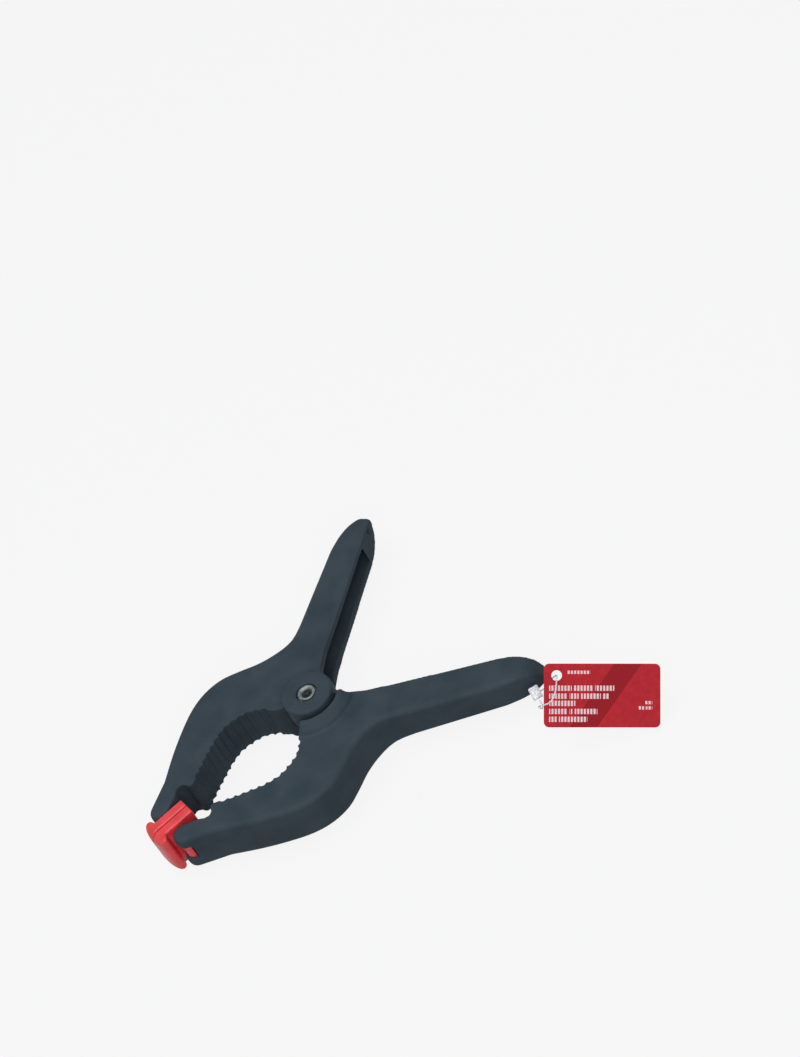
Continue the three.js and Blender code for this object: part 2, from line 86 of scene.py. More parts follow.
# %% Camera
PICTURE_RIGHT = Vector((0.7404, -0.568, -0.3595)).normalized()
TOWARDS_CAMERA = Vector((-0.1937, -0.6924, 0.695))
CAMERA_FROM_PIVOT = (-174.386, -882.716, 938.065)
LENS = 102.37

back = (TOWARDS_CAMERA - PICTURE_RIGHT * PICTURE_RIGHT.dot(TOWARDS_CAMERA)).normalized()
turn = Matrix((PICTURE_RIGHT, back.cross(PICTURE_RIGHT), back)).transposed()

bpy.ops.object.camera_add()
camera = bpy.context.object
camera.name = "camera"
camera.matrix_world = Matrix.Translation(place(*CAMERA_FROM_PIVOT)) @ turn.to_4x4()
camera.data.lens = LENS
camera.data.sensor_width = 36
camera.data.clip_start = 0.05
camera.data.clip_end = 20
bpy.context.scene.camera = camera
print("camera is", round((camera.location - PIVOT).length, 3), "m from the pivot")

# %% [markdown]
# ## Small helpers
# Operators act on whatever is selected, so each step starts by selecting exactly one piece. The
# other helpers apply a modifier, select faces or edges by a rule, and hand a finished piece over:
# it gets its material, the solid it stands for is hidden, and it follows the body it moves with.

# %% Helpers for modelling
def select_only(piece):
    bpy.ops.object.select_all(action="DESELECT")
    piece.select_set(True)
    bpy.context.view_layer.objects.active = piece


def apply_modifier(piece, kind, **settings):
    select_only(piece)
    bpy.ops.object.modifier_add(type=kind)
    modifier = piece.modifiers[-1]
    for name, value in settings.items():
        setattr(modifier, name, value)
    bpy.ops.object.modifier_apply(modifier=modifier.name)


def apply_place(piece):
    select_only(piece)
    bpy.ops.object.transform_apply(location=True, rotation=True, scale=True)


def pick(piece, kind, rule):
    """Selects the edges or polygons that the rule says yes to, and goes to edit mode."""
    select_only(piece)
    bpy.ops.object.mode_set(mode="EDIT")
    bpy.ops.mesh.select_mode(type="EDGE" if kind == "edges" else "FACE")
    bpy.ops.mesh.select_all(action="DESELECT")
    bpy.ops.object.mode_set(mode="OBJECT")
    for part in getattr(piece.data, kind):
        part.select = rule(part)
    bpy.ops.object.mode_set(mode="EDIT")


def cut(piece, cutter, operation="DIFFERENCE"):
    apply_modifier(piece, "BOOLEAN", operation=operation, object=cutter, solver="EXACT")
    bpy.data.objects.remove(cutter)


def smooth_shade(piece, degrees=None):
    select_only(piece)
    if degrees is None:
        bpy.ops.object.shade_smooth()
    else:
        bpy.ops.object.shade_smooth_by_angle(angle=math.radians(degrees))


def copy_of(node, name):
    """A copy of a solid whose loose triangles are joined at their corners."""
    piece = bpy.data.objects.new(name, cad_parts[node].data.copy())
    piece.data.materials.clear()
    bpy.context.scene.collection.objects.link(piece)
    select_only(piece)
    bpy.ops.object.mode_set(mode="EDIT")
    bpy.ops.mesh.select_all(action="SELECT")
    bpy.ops.mesh.remove_doubles(threshold=0.002 * MM)
    bpy.ops.object.mode_set(mode="OBJECT")
    return piece


def hand_over(piece, node, body, material):
    piece.data.materials.clear()
    piece.data.materials.append(material)
    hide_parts(node)
    if body:
        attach(piece, body)
    if piece.type == "MESH":
        print(piece.name, "has", len(piece.data.polygons), "faces")


# %% [markdown]
# ## Building a material
# A material is a small graph of nodes. These helpers keep the graphs short: one makes the material
# and its shader, one adds noise that is read in object coordinates, so that grain has a real size
# in metres and stays on the piece when it moves, one mixes two colours, and one adds a bump.

# %% Helpers for materials
def new_material(name, colour, roughness, metallic=0.0):
    material = bpy.data.materials.new(name)
    material.use_nodes = True
    shader = material.node_tree.nodes["Principled BSDF"]
    shader.inputs["Base Color"].default_value = (*colour, 1)
    shader.inputs["Roughness"].default_value = roughness
    shader.inputs["Metallic"].default_value = metallic
    return material, shader


def add_node(material, kind, **settings):
    node = material.node_tree.nodes.new(kind)
    for name, value in settings.items():
        setattr(node, name, value)
    return node


def link(material, start, end):
    material.node_tree.links.new(start, end)


def coordinates(material, kind="Object", stretch=(1, 1, 1), centre=(0, 0, 0), turned=(0, 0, 0)):
    source = add_node(material, "ShaderNodeTexCoord")
    mapping = add_node(material, "ShaderNodeMapping")
    mapping.inputs["Location"].default_value = centre
    mapping.inputs["Rotation"].default_value = turned
    mapping.inputs["Scale"].default_value = stretch
    link(material, source.outputs[kind], mapping.inputs["Vector"])
    return mapping.outputs["Vector"]


def noise(material, where, grain, detail=2.0):
    """Noise whose features are about as wide as the grain, in metres."""
    node = add_node(material, "ShaderNodeTexNoise")
    node.inputs["Scale"].default_value = 1 / grain
    node.inputs["Detail"].default_value = detail
    link(material, where, node.inputs["Vector"])
    return node.outputs["Fac"]


def grey_ramp(material, factor, low, high, start=0.35, end=0.65):
    """Runs a factor between two numbers."""
    node = add_node(material, "ShaderNodeMapRange")
    for name, value in {"From Min": start, "From Max": end, "To Min": low, "To Max": high}.items():
        node.inputs[name].default_value = value
    link(material, factor, node.inputs["Value"])
    return node.outputs["Result"]


def colour_ramp(material, factor, low, high, start=0.35, end=0.65):
    """Runs a factor between two colours."""
    node = add_node(material, "ShaderNodeValToRGB")
    for stop, position, colour in zip(node.color_ramp.elements, (start, end), (low, high)):
        stop.position = position
        stop.color = (*colour, 1)
    link(material, factor, node.inputs["Fac"])
    return node.outputs["Color"]


def bump(material, shader, height, depth, strength=1.0):
    node = add_node(material, "ShaderNodeBump")
    node.inputs["Strength"].default_value = strength
    node.inputs["Distance"].default_value = depth
    link(material, height, node.inputs["Height"])
    before = shader.inputs["Normal"].links
    if before:
        link(material, before[0].from_socket, node.inputs["Normal"])
    link(material, node.outputs["Normal"], shader.inputs["Normal"])


# %% [markdown]
# ## The tag's loop, first of all
# The card hangs on a short loop of clear nylon filament. It is a real cord: it starts in the lower
# end of its little lock, goes up the front of the card and through its hole, behind the card to a
# hole across the handle's tip, round the back of the tip, and into the back of the lock. The points
# are the same as the engineering model's. A curve with automatic handles joins them smoothly.

# %% Clear filament and its route
CLEAR_TINT = (0.86, 0.88, 0.93)
LOOP_WIRE = 0.7
HAZE_WIDTH = 1.5
LOOP_ROUTE = [
    (66.1, -77.7, -1.3), (65.4, -79.8, -2.3), (63.9, -82.5, -0.4), (62.2, -85.2, 4.1),
    (61.4, -87.9, 8.1), (62.1, -90.8, 10.6), (65.1, -93.1, 11.6), (68.6, -92.8, 13.3),
    (71.6, -91.2, 15.2), (73.9, -89.2, 16.2), (74.7, -87.6, 15), (75.2, -85.8, 13.1),
    (74, -81.3, 8.2), (72.3, -77.1, 2.2), (70.6, -73.5, -2.2), (69.4, -70.4, -4.1),
    (69.7, -67.8, -4.4), (71.5, -65, -4.4), (73.6, -61.8, -4.4), (75.7, -58.6, -4.4),
    (76.9, -56.8, -5.2), (77.2, -56.4, -7.2), (76.2, -57.9, -9.2), (73.6, -61.8, -10),
    (71.2, -65.5, -9.9), (69, -69, -9.2), (67.8, -71.6, -6.2), (67.6, -73, -2.9),
    (67.2, -73.9, -0.2),
]

clear_plastic, clear_shader = new_material("clear filament plastic", CLEAR_TINT, 0.22)
clear_shader.inputs["IOR"].default_value = 1.53
clear_shader.inputs["Transmission Weight"].default_value = 0.6
haze = noise(clear_plastic, coordinates(clear_plastic), HAZE_WIDTH * MM)
link(clear_plastic, grey_ramp(clear_plastic, haze, 0.16, 0.3), clear_shader.inputs["Roughness"])


def smooth_curve(name, points, radius):
    """A round wire through the points, as a curve with automatic handles."""
    data = bpy.data.curves.new(name, "CURVE")
    data.dimensions = "3D"
    data.bevel_depth = radius
    data.bevel_resolution = 4
    data.resolution_u = 8
    data.use_fill_caps = True
    spline = data.splines.new("BEZIER")
    spline.bezier_points.add(len(points) - 1)
    for knot, point in zip(spline.bezier_points, points):
        knot.co = point
        knot.handle_left_type = knot.handle_right_type = "AUTO"
    piece = bpy.data.objects.new(name, data)
    bpy.context.scene.collection.objects.link(piece)
    return piece


loop = smooth_curve("filament_loop", [place(*point) for point in LOOP_ROUTE], LOOP_WIRE / 2 * MM)
hand_over(loop, "tag_loop", "lower_arm", clear_plastic)
print("loop length, mm:", round(loop.data.splines[0].calc_length() / MM, 1))

# %% [markdown]
# ## How the card hangs
# The card and the lock share a lean and a heading. The card also rolls in its own plane, because it
# hangs from a corner. One matrix holds the place of the punched hole and the three turns.

# %% Places of card and lock
TAG_PLACE = (74.7, -87.6, 15)
LOCK_PLACE = (66.8, -75.3, 1.2)
TAG_TURN = -15.6
TAG_LEAN = 46
TAG_ROLL = -30


def turned_by(degrees, axis):
    return Matrix.Rotation(math.radians(degrees), 4, axis)


heading = turned_by(TAG_TURN, "Z") @ turned_by(TAG_LEAN, "X")
card_stands = Matrix.Translation(place(*TAG_PLACE)) @ heading @ turned_by(TAG_ROLL, "Z")
lock_stands = Matrix.Translation(place(*LOCK_PLACE)) @ heading
card_front = card_stands.to_3x3() @ Vector((0, 0, 1))
print("card faces", [round(c, 3) for c in card_front])

# %% [markdown]
# ## The card
# A tag like this is die-cut from stiff card. A cube is made as thin as card, its four upright edges
# are bevelled into round corners, and a cylinder punches the hole. Cuts across its length then let
# its far end curl forwards a little, as card does. The print follows the card, so it is laid out on
# a UV map that runs from 0 to 1 along both sides.

# %% Card
TAG_LENGTH = 48
TAG_HEIGHT = 26.3
TAG_THICKNESS = 0.5
TAG_CORNER = 2.2
TAG_HOLE = 2.2
TAG_HOLE_INSET = (5.3, 4.9)
TAG_CURL = 1.2
CURL_CUTS = 20

card_left = -TAG_HOLE_INSET[0] * MM
card_top = TAG_HOLE_INSET[1] * MM
card_middle = (card_left + TAG_LENGTH / 2 * MM, card_top - TAG_HEIGHT / 2 * MM, 0)
bpy.ops.object.select_all(action="DESELECT")
bpy.ops.mesh.primitive_cube_add(size=1, location=card_middle)
card = bpy.context.object
card.name = "tag_card"
card.scale = (TAG_LENGTH * MM, TAG_HEIGHT * MM, TAG_THICKNESS * MM)
apply_place(card)


def is_upright(edge):
    start, end = (card.data.vertices[i].co for i in edge.vertices)
    return abs(start.x - end.x) < 1e-6 and abs(start.y - end.y) < 1e-6


pick(card, "edges", is_upright)
bpy.ops.mesh.bevel(offset=TAG_CORNER * MM, segments=8, affect="EDGES")
for step in range(1, CURL_CUTS):
    bpy.ops.mesh.select_all(action="SELECT")
    across = card_left + TAG_LENGTH * MM * step / CURL_CUTS
    bpy.ops.mesh.bisect(plane_co=(across, 0, 0), plane_no=(1, 0, 0))
bpy.ops.object.mode_set(mode="OBJECT")

bpy.ops.object.select_all(action="DESELECT")
bpy.ops.mesh.primitive_cylinder_add(vertices=48, radius=TAG_HOLE * MM, depth=8 * TAG_THICKNESS * MM)
cut(card, bpy.context.object)

layout = card.data.uv_layers.new(name="print")
for corner in card.data.loops:
    co = card.data.vertices[corner.vertex_index].co
    across = (co.x - card_left) / (TAG_LENGTH * MM)
    up = (co.y - card_top) / (TAG_HEIGHT * MM) + 1
    layout.data[corner.index].uv = (across, up)
for vertex in card.data.vertices:
    vertex.co.z += TAG_CURL * MM * ((vertex.co.x - card_left) / (TAG_LENGTH * MM)) ** 2
card.data.transform(card_stands)
print("card has", len(card.data.polygons), "faces")

# %% [markdown]
# ## The print on the card
# The front has a red ground with a darker slanting band, and rows of small plain pale blocks where
# such a card has its lines of print. Every shape is a few comparisons of the UV map's two numbers,
# made by one helper. A band is 1 between two limits and 0 outside them, and shapes multiply.

# %% Print
CARD_RED = (0.43, 0.018, 0.028)
CARD_DEEP_RED = (0.29, 0.010, 0.018)
CARD_INK = (0.80, 0.55, 0.58)
CARD_SHEEN = 0.04
MOTTLE_WIDTH = 2.5
FIBRE_WIDTH = 0.35
FIBRE_DEPTH = 0.01
BACK_DEPTH = 0.015

printed_card, card_shader = new_material("printed card", CARD_RED, 0.42)
card_shader.inputs["Specular IOR Level"].default_value = CARD_SHEEN
card_uv = add_node(printed_card, "ShaderNodeUVMap", uv_map="print")
card_axes = add_node(printed_card, "ShaderNodeSeparateXYZ")
link(printed_card, card_uv.outputs["UV"], card_axes.inputs["Vector"])
ACROSS, UP = card_axes.outputs["X"], card_axes.outputs["Y"]


def sums(operation, first, second):
    node = add_node(printed_card, "ShaderNodeMath", operation=operation)
    for socket, value in zip(node.inputs, (first, second)):
        if isinstance(value, (int, float)):
            socket.default_value = value
        else:
            link(printed_card, value, socket)
    return node.outputs["Value"]


def band(value, low, high):
    return sums("MULTIPLY", sums("GREATER_THAN", value, low), sums("LESS_THAN", value, high))


def bar(left, right, bottom, top, slant=0.0):
    leaning = sums("SUBTRACT", ACROSS, sums("MULTIPLY", UP, slant)) if slant else ACROSS
    return sums("MULTIPLY", band(leaning, left, right), band(UP, bottom, top))


def painted(below, colour, mask):
    mix = add_node(printed_card, "ShaderNodeMix", data_type="RGBA")
    colour_inputs = [socket for socket in mix.inputs if socket.type == "RGBA"]
    link(printed_card, mask, mix.inputs[0])
    link(printed_card, below, colour_inputs[0])
    colour_inputs[1].default_value = (*colour, 1)
    return next(socket for socket in mix.outputs if socket.type == "RGBA")


BAND = (0.22, 0.457)
BAND_SLANT = 0.384
ROW_HALF = 0.042
ROWS = [
    (0.615, [(0.045, 0.24), (0.26, 0.42), (0.44, 0.604)]),
    (0.49, [(0.045, 0.20), (0.22, 0.30), (0.32, 0.49), (0.51, 0.56)]),
    (0.377, [(0.045, 0.27)]),
    (0.25, [(0.045, 0.20), (0.22, 0.245), (0.265, 0.46)]),
    (0.127, [(0.045, 0.11), (0.13, 0.374)]),
]
SMALL_HALF = 0.026
SMALL_ROWS = [(0.865, [(0.2, 0.4)]), (0.39, [(0.87, 0.93)]), (0.307, [(0.81, 0.86), (0.875, 0.93)])]
BLOCKS_ACROSS = 36
BLOCK_GAP = 0.36

mottle = noise(printed_card, coordinates(printed_card), MOTTLE_WIDTH * MM)
ground = colour_ramp(printed_card, mottle, [c * 0.92 for c in CARD_RED], [c * 1.08 for c in CARD_RED])
ground = painted(ground, CARD_DEEP_RED, bar(*BAND, 0.0, 1.0, slant=BAND_SLANT))
blocks = sums("GREATER_THAN", sums("FRACT", sums("MULTIPLY", ACROSS, BLOCKS_ACROSS), 0.0), BLOCK_GAP)
for rows, half in ((ROWS, ROW_HALF), (SMALL_ROWS, SMALL_HALF)):
    for middle, words in rows:
        for left, right in words:
            word = bar(left, right, middle - half, middle + half)
            ground = painted(ground, CARD_INK, sums("MULTIPLY", word, blocks))
link(printed_card, ground, card_shader.inputs["Base Color"])
fibre = noise(printed_card, coordinates(printed_card), FIBRE_WIDTH * MM, 3)
link(printed_card, grey_ramp(printed_card, fibre, 0.36, 0.5), card_shader.inputs["Roughness"])
bump(printed_card, card_shader, fibre, FIBRE_DEPTH * MM)

plain_card, plain_shader = new_material("plain back of the card", CARD_RED, 0.55)
back_grain = noise(plain_card, coordinates(plain_card), FIBRE_WIDTH * MM, 3)
duller, brighter = [c * 0.9 for c in CARD_RED], [c * 1.1 for c in CARD_RED]
back_colour = colour_ramp(plain_card, back_grain, duller, brighter)
link(plain_card, back_colour, plain_shader.inputs["Base Color"])
bump(plain_card, plain_shader, back_grain, BACK_DEPTH * MM)

hand_over(card, "hang_tag", "lower_arm", printed_card)
card.data.materials.append(plain_card)
for face in card.data.polygons:
    face.material_index = 0 if face.normal.dot(card_front) > 0.5 else 1
smooth_shade(card, 30)

# %% [markdown]
# ## The lock of the loop
# The loop is closed by a little moulded head: one end of the filament is fixed in it and the other
# is pushed through it. A cube gets a rim at both ends by an inset. Its lower end is then sunk, rim
# and all, which leaves only a skin round the mouth, and a bevel rounds the sharp edges.

# %% Lock
LOCK_SIZE = (4.4, 6.2, 3.4)
LOCK_ROUND = 0.85
LOCK_RIM = 0.75
MOUTH_DEPTH = 1.2
bpy.ops.object.select_all(action="DESELECT")
bpy.ops.mesh.primitive_cube_add(size=1)
lock = bpy.context.object
lock.name = "lock_head"
lock.scale = [side * MM for side in LOCK_SIZE]
apply_place(lock)


def is_an_end(face):
    return abs(face.normal.y) > 0.9


def is_the_lower_end(face):
    return face.normal.y < -0.9


pick(lock, "polygons", is_an_end)
bpy.ops.mesh.inset(thickness=LOCK_RIM * MM)
bpy.ops.object.mode_set(mode="OBJECT")
pick(lock, "polygons", is_the_lower_end)
bpy.ops.mesh.extrude_region_shrink_fatten(TRANSFORM_OT_shrink_fatten={"value": -MOUTH_DEPTH * MM})
bpy.ops.object.mode_set(mode="OBJECT")
apply_modifier(lock, "BEVEL", width=LOCK_ROUND * MM, segments=4, limit_method="ANGLE")
lock.data.transform(lock_stands)
smooth_shade(lock, 40)
hand_over(lock, "loop_lock", "lower_arm", clear_plastic)

# %% [markdown]
# ## Nylon for the arms
# The arms are injection-moulded in glass-filled nylon, dark blue-grey. The mould is spark-eroded,
# so the surface has a fine even grain. Three sizes of noise do it: a slow one that shifts the colour
# a little, as fibre-filled plastic does, a middle one for the faint sinks of a thick moulding, and
# a fine one for the grain itself.

# %% Nylon
NYLON_DARK = (0.032, 0.047, 0.060)
NYLON_LIGHT = (0.044, 0.060, 0.075)
NYLON_SHEEN = 0.07
STREAK_WIDTH = 14
SINK_WIDTH = 9
SINK_DEPTH = 0.12
GRAIN_WIDTH = 0.32
GRAIN_DEPTH = 0.022
nylon, nylon_shader = new_material("moulded nylon", NYLON_DARK, 0.6)
nylon_shader.inputs["Specular IOR Level"].default_value = NYLON_SHEEN
nylon_where = coordinates(nylon)
streaks = noise(nylon, nylon_where, STREAK_WIDTH * MM, 4)
link(nylon, colour_ramp(nylon, streaks, NYLON_DARK, NYLON_LIGHT), nylon_shader.inputs["Base Color"])
grain = noise(nylon, nylon_where, GRAIN_WIDTH * MM, 3)
link(nylon, grey_ramp(nylon, grain, 0.5, 0.68), nylon_shader.inputs["Roughness"])
sinks = noise(nylon, nylon_where, SINK_WIDTH * MM)
bump(nylon, nylon_shader, sinks, SINK_DEPTH * MM, 0.5)
bump(nylon, nylon_shader, grain, GRAIN_DEPTH * MM, 0.8)
print("nylon: streaks, sinks and grain, mm:", STREAK_WIDTH, SINK_WIDTH, GRAIN_WIDTH)

# %% [markdown]
# ## The arms
# The solids have flat facets and tight edges. A real moulding is soft all over, and softer still on
# its back, where the hand and the workpiece's edges rub. So each arm is a copy of its solid that is
# remeshed with small cubes and then relaxed: a little everywhere, and more where a vertex group
# says so. The group leaves out the hub and the toothed edge of the jaw, which stay crisp. What the
# rounding takes off the outline is given back by a small displacement along the normals. Round the
# other arm's boss the moulding is a little thicker, and a lift of its face gives that low collar.

# %% Arms
VOXEL = 0.5
RELAX_ALL = 4
RELAX_SOFT = 8
FULLNESS = 0.2
HUB_ZONE = (17, 26)
EDGE_ZONE = (3, 8)
BOW_TOP = (-32, 20.4)
BOW_CURVE = 0.0125
HANDLE_SLOPE = 0.748
HANDLE_START = 2.3
COLLAR_RISE = 1.6
COLLAR_RIM = 21.4
COLLAR_SLOPE = 2.4
COLLAR_INSIDE = 12
COLLAR_FOOT = 9
COLLAR_DEPTH = 3.3


def inner_edge(x):
    """Rough height of an arm's inner edge above the centre line, at x, in millimetres."""
    if x < 0:
        return BOW_TOP[1] - BOW_CURVE * (x - BOW_TOP[0]) ** 2
    return HANDLE_SLOPE * x + HANDLE_START


def softness(point, side):
    """1 where an arm is well rounded, 0 at its hub and its inner edge."""
    x, y, _ = (point - PIVOT) / MM
    from_hub = math.hypot(x, y)
    from_edge = side * y - inner_edge(x)
    clear = [
        min(1, max(0, (value - low) / (high - low)))
        for value, (low, high) in ((from_hub, HUB_ZONE), (from_edge, EDGE_ZONE))
    ]
    return clear[0] * clear[1]


def collar(point, side):
    """How far the raised collar lifts a point on the face that the other arm's boss stands on."""
    x, y, z = (point - PIVOT) / MM
    from_hub = math.hypot(x, y)
    above = (-side * z - COLLAR_FOOT) / COLLAR_DEPTH
    if above <= 0 or from_hub < COLLAR_INSIDE:
        return 0
    fade = min(1, max(0, (COLLAR_RIM - from_hub) / COLLAR_SLOPE))
    return COLLAR_RISE * fade * fade * (3 - 2 * fade) * min(1, above)


def make_arm(node, side):
    arm = copy_of(node, node + "_moulding")
    apply_modifier(arm, "REMESH", mode="VOXEL", voxel_size=VOXEL * MM)
    group = arm.vertex_groups.new(name="soft")
    for vertex in arm.data.vertices:
        weight = softness(vertex.co, side)
        if weight > 0:
            group.add([vertex.index], weight, "REPLACE")
    apply_modifier(arm, "SMOOTH", factor=0.5, iterations=RELAX_ALL)
    apply_modifier(arm, "SMOOTH", factor=0.5, iterations=RELAX_SOFT, vertex_group="soft")
    apply_modifier(arm, "DISPLACE", strength=FULLNESS * MM, mid_level=0, vertex_group="soft")
    arm.vertex_groups.clear()
    for vertex in arm.data.vertices:
        vertex.co.z -= side * collar(vertex.co, side) * MM
    smooth_shade(arm)
    hand_over(arm, node, node, nylon)


for node, side in (("upper_arm", 1), ("lower_arm", -1)):
    make_arm(node, side)

# %% [markdown]
# ## The pads
# The pads are a softer plastic than the arms, bright red and a little glossy. Their solids are
# remeshed more finely and relaxed, so that their lips look rubbery, and their material lets a
# little light in under the surface.

# %% Pads
PAD_DARK = (0.63, 0.026, 0.035)
PAD_LIGHT = (0.78, 0.046, 0.056)
PAD_VOXEL = 0.3
PAD_RELAX = 6
CLOUD_WIDTH = 6
SKIN_WIDTH = 0.4
SKIN_DEPTH = 0.02
LIGHT_DEPTH = 1.5
soft_red, red_shader = new_material("soft red plastic", PAD_DARK, 0.4)
red_where = coordinates(soft_red)
clouds = noise(soft_red, red_where, CLOUD_WIDTH * MM, 3)
link(soft_red, colour_ramp(soft_red, clouds, PAD_DARK, PAD_LIGHT), red_shader.inputs["Base Color"])
red_shader.inputs["Subsurface Weight"].default_value = 0.08
red_shader.inputs["Subsurface Scale"].default_value = LIGHT_DEPTH * MM
red_grain = noise(soft_red, red_where, SKIN_WIDTH * MM, 3)
link(soft_red, grey_ramp(soft_red, red_grain, 0.3, 0.46), red_shader.inputs["Roughness"])
bump(soft_red, red_shader, red_grain, SKIN_DEPTH * MM, 0.6)

for node, body in (("upper_jaw_pad", "upper_pad"), ("lower_jaw_pad", "lower_pad")):
    jaw_pad = copy_of(node, node + "_moulding")
    apply_modifier(jaw_pad, "REMESH", mode="VOXEL", voxel_size=PAD_VOXEL * MM)
    apply_modifier(jaw_pad, "SMOOTH", factor=0.5, iterations=PAD_RELAX)
    smooth_shade(jaw_pad)
    hand_over(jaw_pad, node, body, soft_red)

# %% [markdown]
# ## The pivot
# The arms turn on a short steel tube whose two ends are rolled outwards over a washer. Both are
# turned shapes, so the outline of the cut metal is drawn once and spun about the pivot's axis. The
# finish is dull zinc with fine rings, as turning leaves them.

# %% Turned steel
TUBE_RADIUS = 3.0
TUBE_BORE = 2.2
TUBE_LIP = 4.0
LIP_FROM = 13.7
LIP_TO = 14.5
ROLL = 0.4
WASHER_FROM = 12.6
WASHER_TO = 13.4
WASHER_RADIUS = 4.3
WASHER_HOLE = 3.3
WASHER_ROUND = 0.12
TURNING_STEPS = 96

ZINC_GREY = (0.16, 0.175, 0.18)
ZINC_DARK = (0.10, 0.115, 0.12)
ZINC_LIGHT = (0.22, 0.24, 0.245)
PATCH_WIDTH = 1.2
RINGS_PER_MM = 0.3
RING_WAVER = 1.5
RING_DEPTH = 0.01
zinc, zinc_shader = new_material("dull zinc plate", ZINC_GREY, 0.5, metallic=0.6)
zinc_where = coordinates(zinc, centre=[-c for c in PIVOT])
rings = add_node(zinc, "ShaderNodeTexWave", wave_type="RINGS", rings_direction="Z")
rings.inputs["Scale"].default_value = RINGS_PER_MM / MM
rings.inputs["Distortion"].default_value = RING_WAVER
link(zinc, zinc_where, rings.inputs["Vector"])
patches = noise(zinc, zinc_where, PATCH_WIDTH * MM, 3)
zinc_colour = colour_ramp(zinc, patches, ZINC_DARK, ZINC_LIGHT)
link(zinc, zinc_colour, zinc_shader.inputs["Base Color"])
link(zinc, grey_ramp(zinc, patches, 0.3, 0.5), zinc_shader.inputs["Roughness"])
bump(zinc, zinc_shader, rings.outputs["Fac"], RING_DEPTH * MM, 0.5)


def sweep(radius, height, size, start, end, count):
    """Points on an arc of an outline, as (radius, height) in millimetres."""
    angles = [math.radians(start + (end - start) * step / count) for step in range(count + 1)]
    return [(radius + size * math.cos(a), height + size * math.sin(a)) for a in angles]


def turned(name, outline):
    """A closed outline of (radius, height) points, spun about the pivot."""
    bpy.ops.object.select_all(action="DESELECT")
    bpy.ops.mesh.primitive_circle_add(vertices=len(outline), radius=MM)
    piece = bpy.context.object
    piece.name = name
    for vertex, (radius, height) in zip(piece.data.vertices, outline):
        vertex.co = place(radius, 0, height)
    bpy.ops.object.mode_set(mode="EDIT")
    bpy.ops.mesh.select_all(action="SELECT")
    bpy.ops.mesh.spin(steps=TURNING_STEPS, angle=2 * math.pi, center=PIVOT, axis=(0, 0, 1))
    bpy.ops.mesh.select_all(action="SELECT")
    bpy.ops.mesh.remove_doubles(threshold=0.002 * MM)
    bpy.ops.mesh.normals_make_consistent(inside=False)
    bpy.ops.object.mode_set(mode="OBJECT")
    smooth_shade(piece, 35)
    return piece


lip_middle = TUBE_LIP - ROLL
flare = lip_middle - TUBE_BORE
rolled_end = [(TUBE_RADIUS, LIP_FROM), *sweep(lip_middle, LIP_FROM + ROLL, ROLL, -90, 90, 8)]
rolled_end += sweep(lip_middle, LIP_TO - flare, flare, 100, 180, 6)
lower_end = [(radius, -height) for radius, height in reversed(rolled_end)]
tube = turned("rolled_tube", lower_end + rolled_end)
hand_over(tube, "pivot_tube", "lower_arm", zinc)

for name, side in (("front_washer", 1), ("back_washer", -1)):
    corners = [(WASHER_HOLE, WASHER_FROM), (WASHER_RADIUS, WASHER_FROM),
               (WASHER_RADIUS, WASHER_TO), (WASHER_HOLE, WASHER_TO)]
    washer = turned(name + "_disc", [(radius, side * height) for radius, height in corners])
    apply_modifier(washer, "BEVEL", width=WASHER_ROUND * MM, segments=2, limit_method="ANGLE")
    smooth_shade(washer, 35)
    hand_over(washer, name, "lower_arm", zinc)

# %% [markdown]
# ## The spring
# A torsion spring of round wire sits on the hub between the ears, and a straight leg of it lies in
# each handle's channel and pushes the handles apart. The wire's centre line is a helix with two
# tangents.

# %% Spring
SPRING_WIRE = 2.3
COIL_RADIUS = 6.6
COIL_PITCH = 2.45
FULL_TURNS = 2
LEG_END = Vector((34, 41.6))
STEPS_PER_TURN = 40

leg_angle = math.atan2(LEG_END.y, LEG_END.x) + math.acos(COIL_RADIUS / LEG_END.length)
coil_turns = FULL_TURNS + 1 - leg_angle / math.pi
coil_half = coil_turns * COIL_PITCH / 2
coil_steps = round(coil_turns * STEPS_PER_TURN)
wire_line = [place(*LEG_END, coil_half)]
for step in range(coil_steps + 1):
    share = step / coil_steps
    angle = leg_angle + coil_turns * 2 * math.pi * share
    height = coil_half * (1 - 2 * share)
    wire_line.append(place(COIL_RADIUS * math.cos(angle), COIL_RADIUS * math.sin(angle), height))
wire_line.append(place(LEG_END.x, -LEG_END.y, -coil_half))

WIRE_GREY = (0.40, 0.41, 0.43)
WIRE_DARK = (0.3, 0.31, 0.32)
WIRE_LIGHT = (0.5, 0.51, 0.52)
DRAWN_WIDTH = 0.5
DRAWN_DEPTH = 0.01
TARNISH_WIDTH = 5
spring_steel, spring_shader = new_material("plated spring wire", WIRE_GREY, 0.34, metallic=1.0)
spring_where = coordinates(spring_steel)
drawn = noise(spring_steel, spring_where, DRAWN_WIDTH * MM, 4)
link(spring_steel, grey_ramp(spring_steel, drawn, 0.26, 0.46), spring_shader.inputs["Roughness"])
tarnish = noise(spring_steel, spring_where, TARNISH_WIDTH * MM, 3)
wire_colour = colour_ramp(spring_steel, tarnish, WIRE_DARK, WIRE_LIGHT)
link(spring_steel, wire_colour, spring_shader.inputs["Base Color"])
bump(spring_steel, spring_shader, drawn, DRAWN_DEPTH * MM, 0.5)

